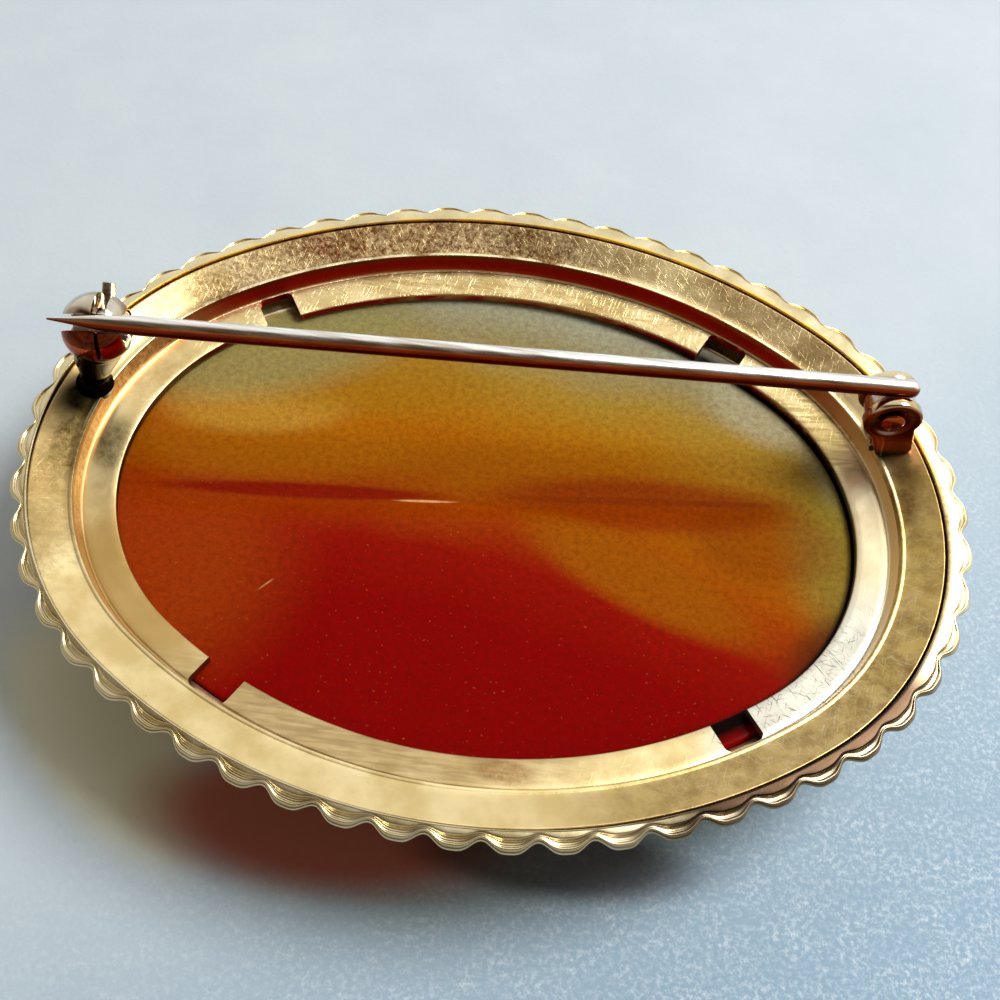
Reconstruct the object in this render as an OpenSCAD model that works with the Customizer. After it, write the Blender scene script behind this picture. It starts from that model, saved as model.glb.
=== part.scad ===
// Oval cabochon brooch, modelled as it lies face down on its stone.
// X runs along the brooch towards the hinge, Z points up from the surface under the dome.

/* [Outline] */
// Length of the oval line where the border meets the back ring
joint_l = 47; // [46.6:0.1:47.2]
// Width of that oval line
joint_w = 36.2; // [36:0.1:36.6]
// Width of the open line between the border and the back ring
joint_gap = 0.12; // [0.06:0.02:0.16]

/* [Stone] */
// Height of the cabochon
stone_h = 5; // [4.6:0.1:6]
// Height of its upright edge
girdle_h = 1.2; // [0.8:0.1:1.4]
// How far the stone's edge lies inside the oval line
stone_inset = 2.85; // [2.8:0.05:2.9]
// Bevel round the flat back
stone_bevel = 0.12; // [0.05:0.01:0.2]

/* [Border] */
// Number of scallops round the edge
scallops = 54; // [40:2:60]
// How far the notches between the scallops stand outside the oval line
notch_out = 0.7; // [0.65:0.05:1]
// How far each scallop reaches past its notches
scallop_out = 0.5; // [0.2:0.05:0.8]
// Depth of the hollow in each scallop
scallop_hollow = 0.2; // [0:0.05:0.3]
// Thickness of the scalloped edge
edge_t = 0.48; // [0.4:0.02:0.6]

/* [Back ring] */
// Thickness of the ring's sheet metal
ring_t = 0.5; // [0.4:0.05:0.5]
// Width of the sloping ring
ring_run = 2.07; // [1.9:0.01:2.2]
// How far the ring falls over that width
ring_drop = 0.81; // [0.7:0.01:0.9]
// Width of the wall inside the ring
wall_run = 0.23; // [0.1:0.01:0.25]
// Height of that wall
wall_drop = 1.04; // [1:0.01:1.1]
// Width of the tabs over the stone
tab_run = 1.68; // [1.5:0.02:1.8]
// How far the tabs fall over their width
tab_drop = 0.26; // [0.2:0.01:0.3]
// How far the ring sits off the middle of the border, along X and along Y
ring_off = -0.27; // [-0.4:0.01:0.2]

/* [Hinge] */
// Distance of the rivet from the middle, along X
hinge_x = 20.2; // [20:0.1:20.4]
// Distance of the hinge's middle from the long axis
hinge_y = 6.05; // [5.8:0.05:6.1]
// Height of the rivet above the oval line
hinge_up = 2.3; // [2.2:0.05:2.6]
// Radius of the ears' round heads
ear_r = 1.36; // [1.3:0.02:1.5]
// Thickness of each ear
ear_t = 0.6; // [0.5:0.05:0.7]
// Room between the ears
ear_gap = 1.15; // [1.1:0.05:1.3]
// Lean of the ears over the stone
ear_lean = 19; // [17:1:21]
// Radius of the rivet's shaft
rivet_r = 0.45; // [0.35:0.01:0.5]
// Radius of the rivet's heads
rivet_head_r = 0.62; // [0.56:0.02:0.7]

/* [Pin] */
// Radius of the wire
pin_r = 0.49; // [0.4:0.01:0.5]
// Distance from the rivet to the point
pin_l = 42.8; // [42:0.1:43]
// Length of the tapered point
point_l = 4.1; // [4.1:0.1:5]
// Angle between the pin and the long axis, seen from above
pin_yaw = 5.04; // [5:0.01:5.1]
// How steeply the open pin rises towards its point
pin_rise = 2.61; // [2.6:0.01:4]
// Height of the wire's middle above the rivet's
pin_over = 1.5; // [1.5:0.01:1.55]

/* [Catch] */
// Radius of the catch's ball
ball_r = 1.8; // [1.7:0.01:1.8]
// Radius of the turning barrel inside the ball
barrel_r = 0.93; // [0.85:0.01:1]
// Radius of the barrel's hole for the pin
hole_r = 0.57; // [0.52:0.01:0.6]
// Width of the ball's mouth
mouth_w = 1.02; // [1:0.01:1.1]
// Thickness of the thumb lever
lever_t = 0.5; // [0.4:0.02:0.55]
// Reach of the thumb lever from the barrel's axis
lever_reach = 2.3; // [2.2:0.1:3]

/* [Hidden] */
$fn = 64;

gold = "#d9c084";
dark_gold = "#b98f4d";
steel = "#c9c3b4";

// The oval is four arcs whose centres make 3-4-5 triangles, so each length stays a short decimal
arc_unit = (joint_l - joint_w) / 4;
end_x = 3 * arc_unit;
side_y = 4 * arc_unit;
end_r = joint_w / 2 - arc_unit;
side_r = end_r + 5 * arc_unit;
end_half = atan2(side_y, end_x);
end_arc = end_r * end_half * PI / 180;
quarter_arc = end_arc + side_r * (90 - end_half) * PI / 180;

// Heights, from the table up: stone, tabs, wall and ring
seat_gap = 0.1;
joint_z = stone_h + seat_gap + ring_t + tab_drop + wall_drop + ring_drop;
joint_half = joint_gap / 2;
ring_slope = ring_drop / ring_run;
wall_end = ring_run + wall_run;
tab_end = wall_end + tab_run;
tab_z = ring_drop + wall_drop + tab_drop;
sector_h = 12;

// Cross-section of the ring as [inset, height]
edge_bevel = 0.13;
wall_back = 0.45;
ring_outline = [
    [joint_half, -joint_half * ring_slope],
    [ring_run - edge_bevel, -(ring_run - edge_bevel) * ring_slope],
    [ring_run + 0.02, -ring_drop - edge_bevel],
    [wall_end, -ring_drop - wall_drop],
    [tab_end, -tab_z],
    [tab_end, -tab_z - ring_t],
    [wall_end - wall_back, -ring_drop - wall_drop - 0.43],
    [ring_run - wall_back, -ring_drop - 0.38],
    [joint_half, -joint_half * ring_slope - ring_t - 0.04]
];

// Gaps between neighbouring tabs: side of the oval, degrees from its middle, width
tab_notches = [[1, 28.5, 2.4], [1, -31.6, 2], [-1, 27.5, 2.2], [-1, -30.7, 2.1]];

// Heights of the stone in its cup
girdle_z = stone_h - girdle_h;
cup_gap = 0.1;
cup_inset = stone_inset - cup_gap;

// Steps round one scallop, and round the stone; the dome's last ring bounds the flat that it rests on
scallop_steps = 6;
stone_steps = 108;
dome_rings = 7;
dome_end = 78;

// Border's cross-section: flat band, hollow, raised lip, front collar and the cup that holds the stone
scallop_round = 1.8;
band_w = 0.42;
band_fall = 0.04;
hollow_fall = 0.14;
lip_w = 0.13;
lip_fall = 0.2;
lip_droop = 0.2;
front_fall = 1.45;
front_inset = 0.05;
cup_z = girdle_z - joint_z;
claw_over = 0.32;
claw_fall = 0.82;
claw_t = 0.23;
cup_t = 0.35;
cup_top = 1.05;
shelf_inset = 0.7;
shelf_fall = 1.7;
joint_fall = 0.66;

// Foot of the ears: depth below the rivet and half of its width
ear_foot = 3.05;
foot_half = 0.92;
far_foot_half = 0.45;
floor_rise = 0.55;
floor_left = 1.2;
floor_right = 0.4;

// Foot of the catch's post, relative to the ring's frame
post_foot = [-21.75, 3.45, -0.62];
post_r = 0.55;
post_top_r = 1.5;
weld_r = 0.85;
weld_top_r = 0.6;
weld_h = 0.45;

// The catch, seen along the pin: angles are from +Y towards +Z
ball_at = [-20.6, 3.55, 3.9];
ball_yaw = 3.4;
bore_r = barrel_r + 0.07;
barrel_l = 2.9;
mouth_deg = 122;
lever_deg = 35;
lever_off = 0.45;
lever_w = 0.62;
groove_w = lever_t + 0.16;
groove_start = -70;
groove_turn = 185;
slit_w = 0.2;
slit_start = 125;
slit_turn = 76;
slit_depth = 0.6;

// Point on the first quarter of the oval, u along it from +X, inset by d
function quarter_at(u, d) =
    u <= end_arc
    ? let (t = u / end_r * 180 / PI) [end_x + (end_r - d) * cos(t), (end_r - d) * sin(t)]
    : let (t = end_half + (u - end_arc) / side_r * 180 / PI)
      [(side_r - d) * cos(t), (side_r - d) * sin(t) - side_y];

// Point at the fraction s of the whole way round, inset by d
function oval_at(s, d) =
    let (
        k = floor(4 * s) % 4,
        part = (4 * s - floor(4 * s)) * quarter_arc,
        p = quarter_at(k % 2 == 1 ? quarter_arc - part : part, d)
    )
    [k == 1 || k == 2 ? -p.x : p.x, k >= 2 ? -p.y : p.y];

// Triangles of a closed band of rows, each of cols points
function band(rows, cols, wrap) = [
    for (i = [0 : rows - 1], j = [0 : cols - (wrap ? 1 : 2)])
        let (
            a = i * cols + j,
            b = i * cols + (j + 1) % cols,
            c = (i + 1) % rows * cols + (j + 1) % cols,
            d = (i + 1) % rows * cols + j
        )
        each [[a, b, c], [a, c, d]]
];

// Border's cross-section at step i: [inset, height, share of the border's own centre]
function border_outline(i) =
    let (
        swell = 1 - pow(1 - pow(sin(180 * i / scallop_steps), 2), scallop_round),
        reach = notch_out + scallop_out * swell,
        lip = reach - lip_w,
        lip_z = -lip_droop * swell - lip_fall
    )
    [
        [-joint_half, 0, 0],
        [-band_w, -band_fall, 1],
        [-0.5 * (band_w + lip), -hollow_fall - scallop_hollow * swell, 1],
        [-lip, lip_z, 1],
        [-reach, lip_z - edge_t, 1],
        [front_inset, -front_fall, 1],
        [cup_inset + 0.5 * claw_over, cup_z - claw_fall - claw_t, 0],
        [cup_inset + claw_over, cup_z - claw_fall, 0],
        [cup_inset, cup_z - 0.5 * cup_gap, 0],
        [cup_inset, cup_z + cup_top, 0],
        [cup_inset - cup_t, cup_z + cup_top - 0.15, 0],
        [shelf_inset, -shelf_fall, 0],
        [-joint_half, -joint_fall, 0]
    ];

// The ring and all that is soldered to it sit a little off the border's centre
module on_ring() {
    translate([ring_off, ring_off, joint_z]) children();
}

// One of the oval's arcs: a full ring of the cross-section, cut to the triangle of its sector
module oval_arc(centre, r, outline, corners) {
    intersection() {
        translate(centre) rotate_extrude() polygon([for (p = outline) [r - p.x, p.y]]);
        translate([0, 0, -sector_h / 2]) linear_extrude(sector_h) polygon(corners);
    }
}

// Sweeps a cross-section of [inset, height] points once round the oval
module round_oval(outline) {
    far = 10;
    for (turn = [0, 180])
        rotate(turn) {
            oval_arc([end_x, 0, 0], end_r, outline,
                     [[end_x, 0], [end_x + 3 * far, 4 * far], [end_x + 3 * far, -4 * far]]);
            oval_arc([0, -side_y, 0], side_r, outline,
                     [[0, -side_y], [end_x + 3 * far, 4 * far], [-end_x - 3 * far, 4 * far]]);
        }
}

// Cuts one gap through the tabs and leaves the wall whole
module tab_notch(side, off, w) {
    rotate(side > 0 ? 0 : 180)
        translate([0, -side_y, 0])
            rotate(90 - off)
                translate([side_r - tab_end - 1, -w / 2, -tab_z - 1])
                    cube([tab_run + 1, w, 2]);
}

// Frame of the hinge: origin at the rivet, X along the pin's line, Y along the rivet
module at_hinge() {
    translate([hinge_x, hinge_y, hinge_up]) rotate(pin_yaw) children();
}

// Places an outline drawn in X and Z as a plate from y0 to y1
module plate(y0, y1) {
    translate([0, y1, 0]) rotate([90, 0, 0]) linear_extrude(y1 - y0) children();
}

// Outline of an ear: round head over a foot that is let into the ring
module ear_outline(foot_out) {
    circle(ear_r);
    rotate(ear_lean)
        polygon([[-ear_r, 0], [ear_r, 0], [foot_out, -ear_foot], [-foot_half, -ear_foot]]);
}

// The two ears with the floor that joins them
module hinge_block() {
    inner = ear_gap / 2;
    outer = inner + ear_t;
    at_hinge() {
        plate(-outer, -inner) ear_outline(foot_half);
        plate(inner, outer) ear_outline(far_foot_half);
        plate(-outer, outer)
            rotate(ear_lean)
                translate([-floor_left, -ear_foot]) square([floor_left + floor_right, floor_rise]);
    }
}

// Bore for the rivet, with a shallow recess for each head
module rivet_bore() {
    outer = ear_gap / 2 + ear_t;
    recess = 0.12;
    at_hinge()
        rotate([90, 0, 0]) {
            cylinder(r = rivet_r + 0.03, h = 4 * outer, center = true);
            for (side = [-1, 1])
                translate([0, 0, side * outer])
                    cylinder(r = rivet_head_r + 2 * recess, h = 2 * recess, center = true);
        }
}

// Frame of the catch: origin in the ball, X along the latched pin
module at_catch() {
    translate(ball_at) rotate(ball_yaw) children();
}

// Frame of a disc or bar that turns about the latched pin, its X at deg in the Y-Z plane
module about_pin(deg) {
    at_catch() rotate([deg, 0, 0]) rotate([90, 0, 90]) children();
}

// Tapered post that carries the ball
module catch_post() {
    rise = ball_at - post_foot;
    translate(post_foot)
        rotate([0, atan2(norm([rise.x, rise.y]), rise.z), atan2(rise.y, rise.x)]) {
            cylinder(r1 = post_r, r2 = post_top_r, h = norm(rise) - 1);
            cylinder(r1 = weld_r, r2 = weld_top_r, h = weld_h);
        }
    translate(ball_at) sphere(ball_r);
}

// Bore, mouth and lever groove of the ball, and the slit that runs on below the mouth
module catch_cuts() {
    about_pin(0) cylinder(r = bore_r, h = 3 * ball_r, center = true);
    about_pin(mouth_deg)
        translate([0, -mouth_w / 2, -2 * ball_r]) cube([2 * ball_r, mouth_w, 4 * ball_r]);
    about_pin(0)
        translate([0, 0, lever_off - groove_w / 2])
            rotate_extrude(angle = groove_turn, start = groove_start) square([2 * ball_r, groove_w]);
    about_pin(0)
        translate([0, 0, lever_off - slit_w / 2])
            rotate_extrude(angle = slit_turn, start = slit_start)
                translate([ball_r - slit_depth, 0]) square([ball_r, slit_w]);
}

module scalloped_border() {
    steps = scallops * scallop_steps;
    cols = len(border_outline(0));
    color(gold)
        polyhedron(
            points = [
                for (i = [0 : steps - 1])
                    for (q = border_outline(i))
                        let (p = oval_at(i / steps, q[0]), off = ring_off * (1 - q[2]))
                        [p.x + off, p.y + off, joint_z + q[1]]
            ],
            faces = band(steps, cols, true)
        );
}

module back_ring() {
    color(gold)
        on_ring()
            difference() {
                union() {
                    round_oval(ring_outline);
                    hinge_block();
                    catch_post();
                }
                for (n = tab_notches) tab_notch(n[0], n[1], n[2]);
                rivet_bore();
                catch_cuts();
            }
}

// Stone: bevelled flat back, upright girdle and a dome that narrows ring by ring
module agate() {
    rows = concat(
        [[1, stone_bevel, stone_h], [1, 0, stone_h - stone_bevel], [1, 0, girdle_z]],
        [
            for (k = [1 : dome_rings])
                let (t = dome_end * k / dome_rings)
                [cos(t), 0, girdle_z * (1 - sin(t) / sin(dome_end))]
        ]
    );
    count = len(rows);
    color("#a5521c")
        polyhedron(
            points = [
                for (i = [0 : stone_steps - 1])
                    for (row = rows)
                        let (p = oval_at(i / stone_steps, stone_inset + row[1]) * row[0])
                        [p.x + ring_off, p.y + ring_off, row[2]]
            ],
            faces = concat(
                [[for (i = [0 : stone_steps - 1]) i * count]],
                band(stone_steps, count, false),
                [[for (i = [stone_steps - 1 : -1 : 0]) i * count + count - 1]]
            )
        );
}

module pin_stem() {
    eye_t = ear_gap - 0.2;
    waist = 0.4 * point_l;
    waist_r = 0.75 * pin_r;
    tip_r = 0.06;
    sunk = 0.5;
    color(steel)
        on_ring()
            at_hinge()
                difference() {
                    union() {
                        rotate([90, 0, 0]) cylinder(r = ear_r - 0.06, h = eye_t, center = true);
                        rotate([0, pin_rise - 90, 0])
                            translate([pin_over, 0, 0]) {
                                translate([0, 0, -sunk]) sphere(pin_r);
                                translate([0, 0, -sunk]) cylinder(r = pin_r, h = pin_l - point_l + sunk);
                                translate([0, 0, pin_l - point_l])
                                    cylinder(r1 = pin_r, r2 = waist_r, h = waist);
                                translate([0, 0, pin_l - point_l + waist])
                                    cylinder(r1 = waist_r, r2 = tip_r, h = point_l - waist);
                            }
                    }
                    rotate([90, 0, 0]) cylinder(r = rivet_r + 0.05, h = 2 * ear_gap, center = true);
                }
}

module hinge_rivet() {
    reach = ear_gap / 2 + ear_t - 0.09;
    edge_h = 0.12;
    crown_h = 0.16;
    color(dark_gold)
        on_ring()
            at_hinge()
                for (side = [-1, 1])
                    rotate([side * 90, 0, 0]) {
                        cylinder(r = rivet_r, h = reach);
                        translate([0, 0, reach]) cylinder(r = rivet_head_r, h = edge_h);
                        translate([0, 0, reach + edge_h])
                            cylinder(r1 = rivet_head_r, r2 = 0.6 * rivet_head_r, h = crown_h);
                    }
}

module catch_rotor() {
    color(steel)
        on_ring()
            difference() {
                union() {
                    about_pin(0) cylinder(r = barrel_r, h = barrel_l, center = true);
                    about_pin(lever_deg)
                        translate([hole_r + 0.13, -lever_w / 2, lever_off - lever_t / 2])
                            cube([lever_reach - hole_r - 0.13, lever_w, lever_t]);
                }
                about_pin(0) cylinder(r = hole_r, h = 2 * barrel_l, center = true);
                about_pin(mouth_deg)
                    translate([0, -hole_r, -barrel_l]) cube([2 * barrel_r, 2 * hole_r, 2 * barrel_l]);
            }
}

scalloped_border();
back_ring();
agate();
pin_stem();
hinge_rivet();
catch_rotor();
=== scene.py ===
from math import asin, atan2, cos, pi, radians, sin, sqrt

import bmesh
import bpy
from mathutils import Matrix, Vector


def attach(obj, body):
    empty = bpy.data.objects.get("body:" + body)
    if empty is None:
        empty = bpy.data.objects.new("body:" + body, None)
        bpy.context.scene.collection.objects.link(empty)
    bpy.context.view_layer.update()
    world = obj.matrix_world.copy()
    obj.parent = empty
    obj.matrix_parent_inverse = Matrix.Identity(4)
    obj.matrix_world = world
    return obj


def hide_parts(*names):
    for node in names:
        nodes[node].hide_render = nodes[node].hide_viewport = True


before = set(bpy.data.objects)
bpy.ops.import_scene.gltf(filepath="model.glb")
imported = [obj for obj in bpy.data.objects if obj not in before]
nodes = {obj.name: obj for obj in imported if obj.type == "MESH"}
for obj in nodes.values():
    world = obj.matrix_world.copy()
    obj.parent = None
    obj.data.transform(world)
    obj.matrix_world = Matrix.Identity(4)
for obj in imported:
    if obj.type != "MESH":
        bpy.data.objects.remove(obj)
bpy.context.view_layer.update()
scene = bpy.context.scene
mm = 0.001


def toLinear(hexColour):
    # sRGB hex to the linear colour that the sockets take
    parts = [int(hexColour[k:k + 2], 16) / 255 for k in (1, 3, 5)]
    return [c / 12.92 if c <= 0.04045 else ((c + 0.055) / 1.055) ** 2.4 for c in parts] + [1.0]


def nodeAdder(tree):
    # gives the function that adds a node with its settings to a tree; a plain kind is a shader node's, a key
    # that is no property is a socket's name or number, and a node or an output as its value is linked
    def add(kind, settings=None):
        node = tree.nodes.new(kind if "Node" in kind else "ShaderNode" + kind)
        for key, value in (settings or {}).items():
            if isinstance(value, bpy.types.Node):
                value = value.outputs[0]
            if isinstance(value, bpy.types.NodeSocket):
                tree.links.new(value, node.inputs[key])
            elif key == "stops":
                ramp = node.color_ramp
                while len(ramp.elements) < len(value):
                    ramp.elements.new(1.0)
                for element, (place, colour) in zip(ramp.elements, value):
                    element.position = place
                    element.color = toLinear(colour)
            elif isinstance(key, str) and hasattr(node, key):
                setattr(node, key, value)
            else:
                node.inputs[key].default_value = value
        return node
    return add


def newMaterial(name):
    material = bpy.data.materials.new(name)
    material.use_nodes = True
    material.node_tree.nodes.clear()
    return material, nodeAdder(material.node_tree)


def finishMaterial(add, settings):
    add("OutputMaterial", {"Surface": add("BsdfPrincipled", settings)})


def calc(add, operation, *values):
    # a sum or other operation on numbers and outputs
    return add("Math", {"operation": operation, **dict(enumerate(values))})


def mapped(add, value, start, end, least=0.0, most=1.0, way="LINEAR"):
    # goes from least to most while the value goes from start to end
    return add("MapRange", {"interpolation_type": way, "From Min": start, "From Max": end, "To Min": least,
        "To Max": most, "Value": value})


def fade(add, value, start, full, least=0.0, most=1.0):
    # the same with a gentle start and end
    return mapped(add, value, start, full, least, most, "SMOOTHSTEP")


def evenly(start, end, steps):
    return [start + (end - start) * k / steps for k in range(steps + 1)]


def angles(start, end, steps):
    return [radians(degrees) for degrees in evenly(start, end, steps)]


def addObject(name, data):
    added = bpy.data.objects.new(name, data)
    bpy.context.collection.objects.link(added)
    return added


def addMesh(name, vertices, faces, material, smooth=True):
    mesh = bpy.data.meshes.new(name)
    mesh.from_pydata(vertices, [], faces)
    mesh.update()
    mesh.materials.append(material)
    mesh.polygons.foreach_set("use_smooth", [smooth] * len(mesh.polygons))
    return addObject(name, mesh)


def ringFaces(count, rings, start=0):
    # quads between closed rings of points, each ring with the same count
    return [(start + r * count + i, start + r * count + (i + 1) % count,
             start + (r + 1) * count + (i + 1) % count, start + (r + 1) * count + i)
            for r in range(rings - 1) for i in range(count)]


def prismFaces(count, start=0):
    ends = [tuple(range(first, first + count)) for first in (start, start + count)]
    return ends + ringFaces(count, 2, start)


def latheRows(rows, count, place):
    # closed surface of rings of points; place gives the point for a row and an angle
    vertices = [place(row, 2 * pi * i / count) for row in rows for i in range(count)]
    return vertices, ringFaces(count, len(rows))


def faceOutwards(mesh, weld=1e-8):
    shape = bmesh.new()
    shape.from_mesh(mesh)
    bmesh.ops.remove_doubles(shape, verts=shape.verts, dist=weld)
    bmesh.ops.recalc_face_normals(shape, faces=shape.faces)
    shape.to_mesh(mesh)
    shape.free()


def evaluatedMesh(piece):
    # the mesh that the piece's modifiers give
    bpy.context.view_layer.update()
    return bpy.data.meshes.new_from_object(piece.evaluated_get(bpy.context.evaluated_depsgraph_get()))


# The oval line where the border meets the back ring: four arcs on 3-4-5 triangles
oval = {
    "length": 47.0,
    "width": 36.2,
    "height": 7.71,         # of that line above the table
    "ringOff": -0.27,       # the ring's centre from the border's, along X and Y
}
arcUnit = (oval["length"] - oval["width"]) / 4
endX = 3 * arcUnit
sideY = 4 * arcUnit
endR = oval["width"] / 2 - arcUnit
sideR = endR + 5 * arcUnit
endHalf = atan2(sideY, endX)
endArc = endR * endHalf
quarterArc = endArc + sideR * (pi / 2 - endHalf)


def ovalAt(s, inset):
    # point at the fraction s of the way round from +X, inset by so many mm
    k = int(4 * s) % 4
    part = 4 * s % 1 * quarterArc
    u = quarterArc - part if k % 2 else part
    if u <= endArc:
        t = u / endR
        x, y = endX + (endR - inset) * cos(t), (endR - inset) * sin(t)
    else:
        t = endHalf + (u - endArc) / sideR
        x, y = (sideR - inset) * cos(t), (sideR - inset) * sin(t) - sideY
    return (-x if k in (1, 2) else x), (-y if k >= 2 else y)


print("camera")
view = {
    "aim": (0.243, -1.525, 7.71),
    "distance": 61.019,
    "azimuth": 0.097,
    "elevation": 58.003,
    "roll": 6.890,
    "lens": 43.2,
}
az, el, roll = (radians(view[k]) for k in ("azimuth", "elevation", "roll"))
back = Vector((sin(az) * cos(el), -cos(az) * cos(el), sin(el)))
right = Vector((cos(az), sin(az), 0.0))
up = back.cross(right)
camRight = right * cos(roll) + up * sin(roll)
camUp = up * cos(roll) - right * sin(roll)
place = (Vector(view["aim"]) + back * view["distance"]) * mm
cameraData = bpy.data.cameras.new("camera")
cameraData.lens = view["lens"]
cameraData.sensor_width = 36.0
cameraData.clip_start = 0.002
cameraData.clip_end = 20.0
camera = addObject("camera", cameraData)
turn = Matrix((camRight, camUp, back)).transposed().to_4x4()
camera.matrix_world = Matrix.Translation(place) @ turn
scene.camera = camera
scene.view_settings.view_transform = "Standard"

print("light")
lighting = {
    "keyDirection": (5.0, 2.6, 7.7),
    "keyDistance": 0.5,
    "keySize": 0.24,
    "keyPower": 2.6,
    "lowGlow": "#B4AA9E",       # of the room's walls, all round
    "glowFrom": (0.78, 0.35),   # height on the sky's dome where that glow starts and is full
    "turned": 0.4,              # how far the sky's bright half turns to the right
    "sky": [(0.0, "#4A3A2C"), (0.5, "#54402E"), (0.62, "#E6E2DA"), (1.0, "#FFFFFF")],       # from near to far
    "strength": 1.0,
}
keyData = bpy.data.lights.new("keyLight", "AREA")
keyData.shape = "DISK"
keyData.size = lighting["keySize"]
keyData.energy = lighting["keyPower"]
keyLight = addObject("keyLight", keyData)
keyWay = Vector(lighting["keyDirection"]).normalized()
keyLight.location = keyWay * lighting["keyDistance"]
keyLight.rotation_euler = keyWay.to_track_quat("Z", "Y").to_euler()

world = bpy.data.worlds.new("softRoom")
scene.world = world
world.use_nodes = True
world.node_tree.nodes.clear()
addSky = nodeAdder(world.node_tree)
skyX, skyY, skyZ = addSky("SeparateXYZ", {0: addSky("TexCoord").outputs["Generated"]}).outputs
skyLevel = mapped(addSky, calc(addSky, "MULTIPLY_ADD", skyX, lighting["turned"], skyY), -1.0, 1.0)
skyRamp = addSky("ValToRGB", {"stops": lighting["sky"], 0: skyLevel})
skyLow = fade(addSky, skyZ, *lighting["glowFrom"])
skyColour = addSky("Mix", {"data_type": "RGBA", "blend_type": "LIGHTEN", 7: toLinear(lighting["lowGlow"]),
    0: skyLow, 6: skyRamp})
background = addSky("Background", {"Strength": lighting["strength"], "Color": skyColour.outputs[2]})
addSky("OutputWorld", {0: background})

print("floor")
floorPart = {
    "size": 1.6,
    "pale": "#BFC9CF",
    "cloudy": "#B6C2C9",
    "cool": "#7A9AB2",      # painted shade: the sheet darkens and turns bluer towards the near right
    "fleck": "#E4EEF2",
    "flecksPerMm": 3.4,
    "coolFrom": (-8.0, 40.0),   # mm towards the near right where that starts and is full
    "coolLean": 0.8,            # how much rightwards counts in it against nearwards
    "coolest": 0.9,
    # light on the sheet under the near edge: tint, centre, reach, degrees, amount
    "glows": [("#D8DAC0", (-18.6, -13.6), (10.0, 4.2), -43.0, 0.9),     # bounced off the gilt border
              ("#A44A2E", (-6.5, -16.6), (11.5, 4.4), 0.0, 0.9),        # come through the stone
              ("#2C1410", (4.8, -17.0), (9.0, 2.6), 0.0, 0.8)],         # deepest shadow
}


def inMillimetres(add):
    coords = add("TexCoord")
    return add("VectorMath", {"operation": "SCALE", "Scale": 1 / mm, 0: coords.outputs["Object"]})


def blended(add, factor, under, tint):
    # lays a tint over a colour where the factor says
    return add("Mix", {"data_type": "RGBA", 7: toLinear(tint), 0: factor, 6: under}).outputs[2]


def ovalMask(add, position, centre, reach, degrees, amount):
    # soft elliptical patch seen from above: full in the middle, nothing at its rim
    spot = add("Mapping", {"vector_type": "TEXTURE", "Location": (*centre, 0.0),
        "Rotation": (0.0, 0.0, radians(degrees)), "Scale": (*reach, 1000.0), "Vector": position})
    glow = add("TexGradient", {"gradient_type": "SPHERICAL", "Vector": spot})
    return fade(add, glow.outputs["Fac"], start=0.0, full=0.5, most=amount)


def bothMasks(add, first, second):
    # shows only where both masks do
    return calc(add, "MULTIPLY", first, second)


def noiseMask(add, position, scale, detail, low, high, roughness=0.5, least=0.0, most=1.0):
    # noise, and the mask that its values from low to high give
    noise = add("TexNoise", {"Scale": scale, "Detail": detail, "Roughness": roughness, "Vector": position})
    return noise, mapped(add, noise, low, high, least, most)


def blueGreyLaminate():
    # sheet laminate, matt: an even pale grey-blue, with painted shade that makes it darker and cooler towards
    # the near right, and tiny white flecks
    material, add = newMaterial("blueGreyLaminate")
    position = inMillimetres(add)
    cloud = add("TexNoise", {"Scale": 0.09, "Detail": 6.0, "Roughness": 0.65, "Vector": position})
    ramp = add("ValToRGB", {"stops": [(0.3, floorPart["cloudy"]), (0.7, floorPart["pale"])], 0: cloud})
    x, y, _ = add("SeparateXYZ", {0: position}).outputs
    # painted shade: darker and bluer towards the near right
    slope = calc(add, "SUBTRACT", calc(add, "MULTIPLY", x, floorPart["coolLean"]), y)
    near = fade(add, slope, *floorPart["coolFrom"], most=floorPart["coolest"])
    colour = blended(add, near, ramp, floorPart["cool"])
    flecks = noiseMask(add, position, scale=floorPart["flecksPerMm"], detail=4.0, roughness=0.75, low=0.46,
        high=0.7, most=0.8)[1]
    drifts = noiseMask(add, position, scale=0.55, detail=4.0, roughness=0.6, low=0.35, high=0.65, least=0.35)[1]
    flecks = bothMasks(add, bothMasks(add, flecks, drifts), near)
    colour = blended(add, flecks, colour, floorPart["fleck"])
    for tint, *patch in floorPart["glows"]:
        colour = blended(add, ovalMask(add, position, *patch), colour, tint)
    grain = add("TexNoise", {"Scale": 2.5, "Detail": 3.0, "Vector": position})
    bump = add("Bump", {"Strength": 0.15, "Distance": 0.1 * mm, "Height": grain})
    finishMaterial(add, {"Roughness": 0.5, "IOR": 1.5, "Specular IOR Level": 0.25, "Base Color": colour,
        "Normal": bump})
    return material


half = floorPart["size"] / 2
floor = addMesh("floor", [(-half, -half, 0), (half, -half, 0), (half, half, 0), (-half, half, 0)],
                [(0, 1, 2, 3)], blueGreyLaminate(), smooth=False)

print("materials")
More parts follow.
